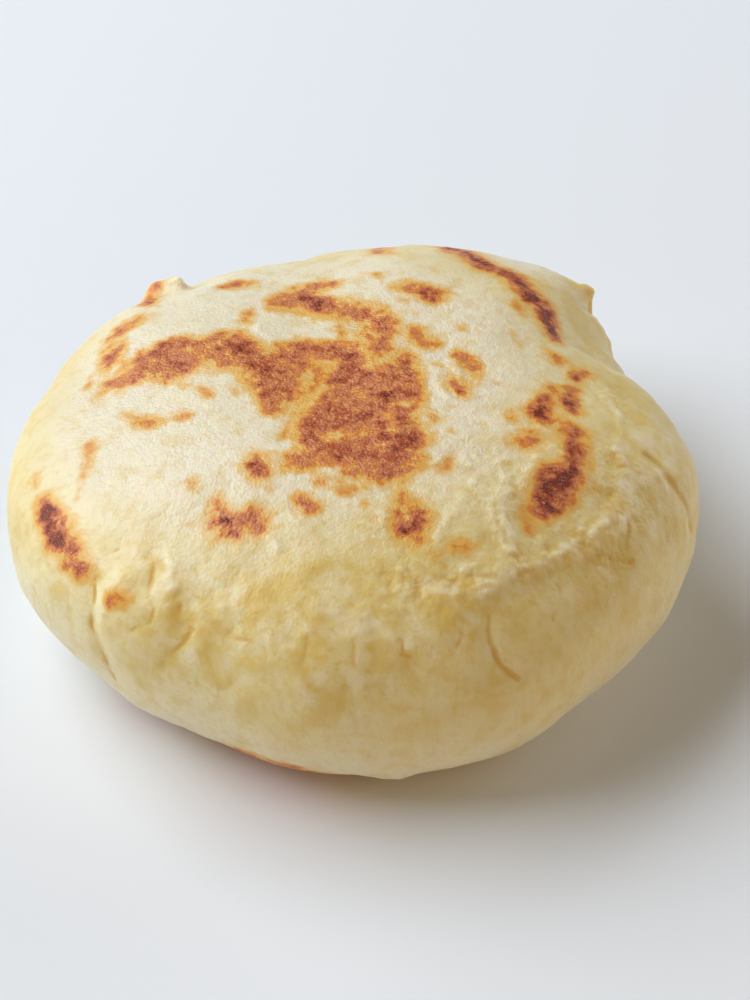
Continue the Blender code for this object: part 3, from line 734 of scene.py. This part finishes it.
def modified_copy(mesh, name, kind, shares=None, **settings):
    """A mesh as one modifier leaves it, which acts on each point by its share where shares are given."""
    holder = bpy.data.objects.new(name, mesh)
    bpy.context.scene.collection.objects.link(holder)
    modifier = holder.modifiers.new(name, kind)
    for key, value in settings.items():
        setattr(modifier, key, value)
    if shares is not None:
        group = holder.vertex_groups.new(name=name)
        for tenths in range(1, 11):
            alike = [int(i) for i in np.nonzero(np.round(shares * 10.0) == tenths)[0]]
            group.add(alike, tenths / 10.0, "REPLACE")
        modifier.vertex_group = group.name
    made = bpy.data.meshes.new_from_object(holder.evaluated_get(bpy.context.evaluated_depsgraph_get()))
    bpy.data.objects.remove(holder)
    return made


def even_skin(step, surface):
    """The solid's surface as an even mesh, without its facets, and sharper at its few sharp forms."""
    mesh = modified_copy(SOLID.data.copy(), "even squares", "REMESH", mode="VOXEL", voxel_size=step)
    edges = np.zeros(len(mesh.edges) * 2, dtype=np.int64)
    mesh.edges.foreach_get("vertices", edges)
    sharper = smooth(read_points(mesh), edges.reshape(-1, 2), FIRST_ROUNDS)
    softer = smooth(sharper, edges.reshape(-1, 2), MORE_ROUNDS)
    sharp = spread_over(sharper, surface, SHARP_SIDE, side_place)
    write_points(mesh, softer + (sharper - softer) * sharp[:, None])
    return mesh


def relief(points, surface, sizes):
    """How far each point moves out and its depth in a crack, in millimetres, and how rough it is there."""
    # Small lumps all over
    out = sizes.uneven_height / MM * lumps(points, 3.2, 5.0)
    out += 0.5 * sizes.uneven_height / MM * lumps(points, 1.3, 17.0)

    # Crests, folds and cracks, which waver a little and are uneven in height
    crack = np.zeros(len(points))
    lines = []
    for find_place, table in ((top_place, TOP_RELIEF), (side_place, SIDE_RELIEF)):
        for height, width, spots in table:
            lines.append((height, width, [find_place(surface, *spot) for spot in spots]))
    waver = WAVER * np.stack([lumps(points, 1.8, seed) for seed in (31.0, 37.0, 41.0)], axis=1)
    uneven = np.clip(0.9 + 0.55 * lumps(points, 2.4, 61.0), 0.3, 1.4)
    for height, width, line in lines:
        shape = uneven * np.exp(-((line_gap(points + waver, line) / width) ** 2))
        out += height * shape
        if height < 0.0 and width < CRACK_WIDTH:
            crack = np.maximum(crack, -height * shape)

    # Crumbs, wrinkles and soft lumps, each where the skin has them
    crumbly = spread_over(points, surface, CRUMBLY_TOP)
    crumbly = np.maximum(crumbly, spread_over(points, surface, CRUMBLY_SIDE, side_place))
    crumbs = grains(points, 1.9, 3.0) - 0.5 + 0.5 * (grains(points, 0.95, 9.0) - 0.5)
    out += sizes.crumb_height / MM * crumbly * crumbs * 2.0
    wrinkled = spread_over(points, surface, WRINKLED_TOP)
    ridges = np.clip(1.0 - 3.0 * np.abs(lumps(points, 2.9, 51.0)), 0.0, 1.0)
    ridges = np.maximum(ridges, np.clip(1.0 - 3.0 * np.abs(lumps(points, 4.2, 57.0)), 0.0, 1.0))
    out += sizes.wrinkle_height / MM * wrinkled * (ridges - 0.3)
    lumpy = spread_over(points, surface, LUMPY_SIDE, side_place)
    soft_lumps = grains(points, 3.6, 21.0) - 0.45 + 0.5 * (grains(points, 1.8, 27.0) - 0.45)
    out += sizes.lump_height / MM * lumpy * soft_lumps
    return out, crack, crumbly, wrinkled, lumpy


def shaped_skin(sizes, surface):
    """The skin's mesh with its relief, thinned where it is least seen."""
    mesh = even_skin(sizes.mesh_step, surface)
    points = read_points(mesh)
    normals = np.zeros(len(points) * 3)
    mesh.vertices.foreach_get("normal", normals)

    # The relief fades away near the floor, and nothing goes below it
    out = relief(points, surface, sizes)[0] * np.clip(points[:, 2] / FLAT_FOOT, 0.0, 1.0)
    points = points + normals.reshape(-1, 3) * out[:, None]
    points[:, 2] = np.maximum(points[:, 2], 0.0)
    write_points(mesh, points)

    hidden = np.maximum((LOW - points[:, 2]) / FADE, (points[:, 1] - FAR_BACK) / FADE)
    mesh = modified_copy(
        mesh,
        "seldom seen",
        "DECIMATE",
        shares=np.clip(hidden, 0.0, 1.0),
        use_collapse_triangulate=True,
        vertex_group_factor=8.0,
        ratio=sizes.triangles / (2.0 * len(mesh.polygons)),
    )
    points = read_points(mesh)
    points[:, 2] = np.maximum(points[:, 2], 0.0)
    write_points(mesh, points)
    return mesh


def note_toasting(mesh, surface, sizes):
    """Stores what the material reads: depths and heights in millimetres, and shares from 0 to 1."""
    points = read_points(mesh)
    raised, crack, crumbly, wrinkled, lumpy = relief(points, surface, sizes)
    browned = depth_inside(points, surface, BROWNED)
    browned = np.minimum(browned, -depth_inside(points, surface, PALE))
    x, y, height = points.T
    angle = np.degrees(np.arctan2(y, x)) % 360.0

    # The lower face is toasted in patches, and its rim shows where it turns up at the front
    under = 5.0 * lumps(points, 13.0, 71.0) + 2.2 * lumps(points, 5.0, 77.0) + 1.0 - 1.2 * height
    front = np.exp(-(((angle - TURNED_UP[0]) / TURNED_UP[1]) ** 2))
    rim = np.minimum(1.4 * (8.8 * front - height), 1.0) + 0.8 * lumps(points, 3.0, 83.0)
    browned = np.maximum(browned, np.maximum(under, np.where(front > 0.05, rim, -10.0)))

    # The griddled top is dry inside an oval, and so is the hump behind it; the oval is also painted paler as
    # sheen, and the foot of the side is painted paler as light bounced up from the floor
    oval = 1.25 - np.hypot((x - DRY_AND_SHEEN_OVAL[0]) / DRY_AND_SHEEN_OVAL[2], (y - DRY_AND_SHEEN_OVAL[1]) / DRY_AND_SHEEN_OVAL[3])
    top = np.clip(oval / 0.55, 0.0, 1.0) * np.clip((height - 25.0) / 8.0, 0.0, 1.0)
    hump = spread_over(points, surface, DRY_TOP)
    # painted bounce light: paler towards the floor
    foot = 0.6 * np.clip((22.0 - height) / 12.0, 0.0, 1.0)
    notes = {
        "browned": browned,
        "deepened": depth_inside(points, surface, DEEPENED),
        "scorched": depth_inside(points, surface, SCORCHED),
        "golden": depth_inside(points, surface, GOLDEN),
        "yellow": depth_inside(points, surface, YELLOW_SIDE, side_place),
        "dryness_and_painted_light": np.maximum(np.maximum(top, hump), foot),
        "crack": crack,
        "raised": raised,
        "crumbly": crumbly,
        "wrinkled": wrinkled,
        "patchy": 0.35 + 0.65 * lumpy,
        # painted light: paler on the left front, where the light from the left falls
        "steamed": np.exp(-(((angle - LIT_LEFT_FRONT[0]) / LIT_LEFT_FRONT[1]) ** 2)),
    }
    for name, values in notes.items():
        layer = mesh.attributes.new(name, "FLOAT", "POINT")
        layer.data.foreach_set("value", np.clip(values, -20.0, 20.0).astype(np.float32))


def add_node(tree, kind, inputs, **settings):
    """Adds a node with its settings, links or sets its inputs, and gives its outputs."""
    made = tree.nodes.new(kind)
    for name, value in settings.items():
        setattr(made, name, value)
    for name, value in inputs.items():
        if isinstance(value, bpy.types.NodeSocket):
            tree.links.new(value, made.inputs[name])
        else:
            made.inputs[name].default_value = value
    return made.outputs


# Sockets of a colour Mix node, whose names repeat
MIX_FACTOR, MIX_FIRST, MIX_SECOND, MIX_RESULT = 0, 6, 7, 2


def griddled_dough(colours, sizes):
    """Cassava dough, pressed by hand and griddled: dry and floury on top, waxy sides, toasted in grains.

    Light sinks a few millimetres into the starch, so the pale dough glows yellow and has soft shadows, and
    its toasted grains are rough and catch small lights. Pale flecks painted on them stand for more such
    glints, and some light and shade is painted into the colour as well.
    """
    material = bpy.data.materials.new("griddled cassava dough")
    material.use_nodes = True
    tree = material.node_tree
    shader = tree.nodes["Principled BSDF"]
    place = add_node(tree, "ShaderNodeTexCoord", {})["Object"]
    read = {}
    marks = ("browned", "deepened", "scorched", "golden", "yellow")
    for name in (*marks, "dryness_and_painted_light", "crack", "raised", "crumbly", "wrinkled", "patchy", "steamed"):
        read[name] = add_node(tree, "ShaderNodeAttribute", {}, attribute_name=name)["Fac"]

    # Noise by the size of its grains in millimetres: the finest are flour, drawn coarse enough to show
    for size in (0.28, 0.55, 1.3, 3.4, 11.0):
        read[size] = add_node(
            tree,
            "ShaderNodeTexNoise",
            {"Vector": place, "Scale": 1.0 / (size * MM), "Detail": 1.0, "Roughness": 0.6},
        )["Fac"]

    # Flour grains and crumbs that stand side by side, also by their size in millimetres
    for name, size in (("flour grains", 0.45), ("crumbs", 1.0)):
        read[name] = add_node(
            tree, "ShaderNodeTexVoronoi", {"Vector": place, "Scale": 1.0 / (size * MM)}, feature="F1"
        )["Distance"]

    # The sides are streaked where the dough was stretched: about 1 mm across, and six times as long
    drawn_out = add_node(
        tree, "ShaderNodeVectorMath", {0: place, 1: (1.0 / MM, 1.0 / MM, 0.16 / MM)}, operation="MULTIPLY"
    )[0]
    read["streaks"] = add_node(
        tree, "ShaderNodeTexNoise", {"Vector": drawn_out, "Scale": 0.9, "Detail": 1.0, "Roughness": 0.5}
    )["Fac"]

    # Sums of noise: how far a mark's edge wanders in millimetres, its mottling, and the grain's height
    for name, parts in (
        ("wander", ((0.28, 0.1), (0.55, 0.4), (1.3, 1.6), (3.4, 1.9))),
        ("mottle", ((0.28, 0.8), (0.55, 1.1), (1.3, 2.7), (3.4, 3.5), (11.0, 1.0))),
        ("grain", (("flour grains", -0.9), ("crumbs", -0.8), (0.28, 0.4), (1.3, 1.0))),
    ):
        total = 0.0
        for size, weight in parts:
            centred = add_node(tree, "ShaderNodeMath", {0: read[size], 1: 0.5}, operation="SUBTRACT")[0]
            total = add_node(
                tree, "ShaderNodeMath", {0: centred, 1: weight, 2: total}, operation="MULTIPLY_ADD"
            )[0]
        read[name] = total
    for name in marks:
        read[name] = add_node(tree, "ShaderNodeMath", {0: read[name], 1: read["wander"]}, operation="ADD")[0]

    # Crests run where a noise is even, and the gaps between crumbs show only where the skin is crumbly
    for name, size in (("fine crests", 1.3), ("wide crests", 3.4)):
        centred = add_node(tree, "ShaderNodeMath", {0: read[size], 1: 0.5}, operation="SUBTRACT")[0]
        read[name] = add_node(tree, "ShaderNodeMath", {0: centred}, operation="ABSOLUTE")[0]
    read["gaps"] = add_node(
        tree, "ShaderNodeMath", {0: read["crumbs"], 1: read["crumbly"]}, operation="MULTIPLY"
    )[0]

    # What shows, what it is read from, where that starts and is full, and its strength, which can be read
    # too: the patches are strongest in the front's soft lumps, and the glints, pale flecks painted as
    # highlights, are only on griddle marks
    for name, source, start, full, strength in (
        ("toasting", "browned", -0.8, 1.3, 0.96),
        ("reddening", "deepened", -1.4, 1.0, 0.65),
        ("burning", "scorched", -1.0, 1.2, 1.0),
        ("fine wrinkles", "fine crests", 0.07, 0.0, "wrinkled"),
        ("wide wrinkles", "wide crests", 0.07, 0.0, "wrinkled"),
        ("wide patches", 3.4, 0.46, 0.64, "patchy"),
        ("small patches", 1.3, 0.49, 0.66, "patchy"),
        ("pale patches", 3.4, 0.48, 0.34, "patchy"),
        ("glints", "flour grains", 0.34, 0.10, "toasting"),
    ):
        strength = read.get(strength, strength)
        read[name] = add_node(
            tree,
            "ShaderNodeMapRange",
            {"Value": read[source], "From Min": start, "From Max": full, "To Max": strength},
            interpolation_type="SMOOTHSTEP",
        )[0]

    # How toasted a place is: 1 on an even mark, with paler and darker grains in it, and 2 where scorched
    toasted = add_node(tree, "ShaderNodeMath", {0: read["mottle"], 1: 1.0}, operation="ADD")[0]
    for name, operation in (("toasting", "MULTIPLY"), ("reddening", "ADD"), ("burning", "ADD")):
        toasted = add_node(tree, "ShaderNodeMath", {0: toasted, 1: read[name]}, operation=operation)[0]
    read["toasted"] = toasted

    # The pale dough: waxy cream with yellow patches, the left front painted paler as lit, and dry cream over
    # it on top, with painted sheen and painted bounce light at the foot; crests painted paler as highlights,
    # and painted shade of darker yellow in hollows and cracks
    colour = (*colours.waxy_cream, 1.0)
    layers = (
        # what is read, where it starts and is full, how strong it is, and its colour
        # painted light: the left front paler, as lit from the left
        ("steamed", 0.00, 1.00, 0.75, colours.steamed),
        (11.0, 0.47, 0.66, 0.35, colours.starch_yellow_and_shade),
        ("wide patches", 0.00, 1.00, 0.42, colours.starch_yellow_and_shade),
        ("small patches", 0.00, 1.00, 0.34, colours.starch_yellow_and_shade),
        ("pale patches", 0.00, 1.00, 0.40, colours.floury),
        ("streaks", 0.50, 0.75, 0.25, colours.starch_yellow_and_shade),
        # dry cream: partly dry dough, partly painted sheen on top and painted bounce light at the foot
        ("dryness_and_painted_light", 0.00, 1.00, 0.85, colours.dry_cream_and_painted_light),
        (3.4, 0.50, 0.72, 0.35, colours.starch_yellow_and_shade),
        (1.3, 0.52, 0.72, 0.22, colours.starch_yellow_and_shade),
        # crests paler: partly dry flour, partly painted highlight where they stand up into the light
        ("raised", 0.03, 0.28, 0.65, colours.floury),
        # yellow in the side's hollows and creases: partly the dough's own, partly painted warm shade
        ("yellow", -1.0, 0.6, 0.55, colours.starch_yellow_and_shade),
        ("fine wrinkles", 0.10, 1.00, 0.15, colours.floury),
        ("wide wrinkles", 0.10, 1.00, 0.25, colours.floury),
        # painted shade, partly the dough's own yellow: darker between crumbs, in the relief's hollows and in
        # cracks
        ("gaps", 0.35, 0.75, 0.30, colours.furrow),
        ("raised", -0.02, -0.25, 0.35, colours.furrow),
        ("crack", 0.02, 0.14, 0.60, colours.furrow),
        ("golden", -1.0, 0.5, 0.80, colours.golden),
        ("golden", 0.1, 1.1, 0.80, colours.orange),
        ("browned", -2.1, -0.2, 0.90, colours.golden),
        ("toasted", 0.02, 0.55, 0.92, colours.orange),
        ("toasted", 0.35, 1.10, 0.94, colours.brown),
        ("toasted", 0.95, 1.65, 0.90, colours.red_brown),
        ("toasted", 1.60, 2.50, 0.90, colours.scorched),
        # painted glints: pale flecks on the toasted grains, as small highlights
        ("glints", 0.20, 1.00, 0.45, colours.glint_colour),
    )
    for source, start, full, strength, layer_colour in layers:
        amount = add_node(
            tree,
            "ShaderNodeMapRange",
            {"Value": read[source], "From Min": start, "From Max": full, "To Max": strength},
            interpolation_type="SMOOTHSTEP",
        )[0]
        colour = add_node(
            tree,
            "ShaderNodeMix",
            {MIX_FACTOR: amount, MIX_FIRST: colour, MIX_SECOND: (*layer_colour, 1.0)},
            data_type="RGBA",
        )[MIX_RESULT]
    tree.links.new(colour, shader.inputs["Base Color"])

    # Bump: flour grain, strong where dry or toasted and faint on the waxy sides, with crumbs and wrinkles
    rough = add_node(
        tree, "ShaderNodeMapRange", {"Value": read["dryness_and_painted_light"], "To Min": 0.35, "To Max": 0.85}
    )[0]
    gritty = add_node(tree, "ShaderNodeMath", {0: read["toasting"], 1: 1.9}, operation="MULTIPLY")[0]
    rough = add_node(tree, "ShaderNodeMath", {0: rough, 1: gritty}, operation="MAXIMUM")[0]
    height = read["grain"]
    for factor in (rough, sizes.grain_depth):
        height = add_node(tree, "ShaderNodeMath", {0: height, 1: factor}, operation="MULTIPLY")[0]
    for name, depth in (
        ("gaps", -sizes.crumb_depth),
        ("fine wrinkles", sizes.crease_depth),
        ("wide wrinkles", sizes.crease_depth),
    ):
        height = add_node(
            tree, "ShaderNodeMath", {0: read[name], 1: depth, 2: height}, operation="MULTIPLY_ADD"
        )[0]
    normal = add_node(tree, "ShaderNodeBump", {"Height": height, "Distance": 1.0, "Strength": 1.0})["Normal"]
    tree.links.new(normal, shader.inputs["Normal"])

    shader.inputs["Roughness"].default_value = 0.42
    shader.inputs["IOR"].default_value = 1.42
    shader.inputs["Subsurface Weight"].default_value = 0.75
    shader.inputs["Subsurface Radius"].default_value = (1.0, 0.72, 0.32)
    shader.inputs["Subsurface Scale"].default_value = 3.0 * MM
    return material


class AREPA_OT_make_arepa(bpy.types.Operator):
    """Make the arepa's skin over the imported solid"""

    bl_idname = "arepa.make_arepa"
    bl_label = "Arepa"

    def execute(self, context):
        remove_object(SKIN)
        sizes = context.scene.arepa_skin
        surface = solid_surface()
        mesh = shaped_skin(sizes, surface)
        mesh.name = SKIN
        note_toasting(mesh, surface, sizes)
        mesh.shade_smooth()
        mesh.materials.clear()
        mesh.materials.append(griddled_dough(context.scene.arepa_colours, sizes))
        skin = bpy.data.objects.new(SKIN, mesh)
        context.scene.collection.objects.link(skin)
        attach(skin, "root")
        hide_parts("arepa")
        return {"FINISHED"}


def studio_floor(colour):
    """A wide board painted matt white: it gives soft shadows and hardly any reflection."""
    material = bpy.data.materials.new("matt white painted board")
    material.use_nodes = True
    shader = material.node_tree.nodes["Principled BSDF"]
    shader.inputs["Base Color"].default_value = (*colour, 1.0)
    shader.inputs["Roughness"].default_value = 0.8
    half = 0.5 * FLOOR_WIDTH
    mesh = bpy.data.meshes.new("floor")
    corners = [(-half, -half, 0), (half, -half, 0), (half, half, 0), (-half, half, 0)]
    mesh.from_pydata(corners, [], [(0, 1, 2, 3)])
    mesh.materials.append(material)
    return bpy.data.objects.new("floor", mesh)


class AREPA_OT_make_stage(bpy.types.Operator):
    """Make the floor, the light and the camera"""

    bl_idname = "arepa.make_stage"
    bl_label = "Stage"

    def execute(self, context):
        studio = context.scene.arepa_studio
        for name in ("floor", "camera"):
            remove_object(name)
        floor = studio_floor(studio.floor_colour)
        context.scene.collection.objects.link(floor)

        world = bpy.data.worlds.new("dim surroundings")
        world.use_nodes = True
        sky = world.node_tree.nodes["Background"]
        sky.inputs["Color"].default_value = (*studio.fill_colour, 1.0)
        sky.inputs["Strength"].default_value = studio.surroundings
        context.scene.world = world

        middle = Vector((0.0, 0.0, 20.0)) * MM
        lights = (
            # name, azimuth, elevation, distance, width, power and colour
            ("key light", 160.0, 44.0, 1.3, 1.60, studio.key_power, studio.key_colour),
            ("back light", 30.0, 16.0, 0.8, 0.45, studio.back_power, studio.key_colour),
            ("fill light", 316.0, 28.0, 0.8, 0.70, studio.fill_power, studio.fill_colour),
            ("low light", 266.0, 14.0, 0.8, 0.50, studio.low_power, studio.fill_colour),
        )
        for name, azimuth, elevation, distance, width, power, colour in lights:
            remove_object(name)
            lamp = bpy.data.lights.new(name, "AREA")
            lamp.shape = "RECTANGLE"
            lamp.size = width
            lamp.size_y = min(width, 1.0)
            lamp.energy = power
            lamp.color = colour
            light = bpy.data.objects.new(name, lamp)
            turn = Euler((0.0, -math.radians(elevation), math.radians(azimuth))).to_matrix()
            light.location = middle + turn @ Vector((distance, 0.0, 0.0))
            light.rotation_euler = (middle - light.location).to_track_quat("-Z", "Y").to_euler()
            context.scene.collection.objects.link(light)

        # The camera looks towards +Y and down at its aim
        aim = Vector((3.35, -3.79, 19.0)) * MM
        rise = studio.camera_rise
        back = Vector((0.0, -math.cos(rise), math.sin(rise)))
        data = bpy.data.cameras.new("camera")
        data.sensor_fit = "AUTO"
        data.sensor_width = 36.0
        data.lens = studio.lens
        data.clip_start = 0.01
        data.clip_end = 20.0
        camera = bpy.data.objects.new("camera", data)
        turn = (-back).to_track_quat("-Z", "Y").to_matrix().to_4x4()
        camera.matrix_world = Matrix.Translation(aim + back * studio.camera_distance) @ turn
        context.scene.collection.objects.link(camera)
        context.scene.camera = camera
        context.scene.view_settings.view_transform = "Standard"
        return {"FINISHED"}


class AREPA_PT_make(bpy.types.Panel):
    """The steps that make the arepa, and what can be changed"""

    bl_label = "Arepa"
    bl_space_type = "VIEW_3D"
    bl_region_type = "UI"
    bl_category = "Arepa"

    def draw(self, context):
        for group in (context.scene.arepa_skin, context.scene.arepa_colours, context.scene.arepa_studio):
            for name in group.__annotations__:
                self.layout.prop(group, name)
        self.layout.operator(AREPA_OT_make_arepa.bl_idname)
        self.layout.operator(AREPA_OT_make_stage.bl_idname)


CLASSES = (ArepaSkin, ArepaColours, ArepaStudio, AREPA_OT_make_arepa, AREPA_OT_make_stage, AREPA_PT_make)


def register():
    for kind in CLASSES:
        bpy.utils.register_class(kind)
    bpy.types.Scene.arepa_skin = PointerProperty(type=ArepaSkin)
    bpy.types.Scene.arepa_colours = PointerProperty(type=ArepaColours)
    bpy.types.Scene.arepa_studio = PointerProperty(type=ArepaStudio)


def unregister():
    del bpy.types.Scene.arepa_skin
    del bpy.types.Scene.arepa_colours
    del bpy.types.Scene.arepa_studio
    for kind in reversed(CLASSES):
        bpy.utils.unregister_class(kind)


def main():
    register()
    bpy.ops.arepa.make_arepa()
    bpy.ops.arepa.make_stage()


if __name__ == "__main__":
    main()
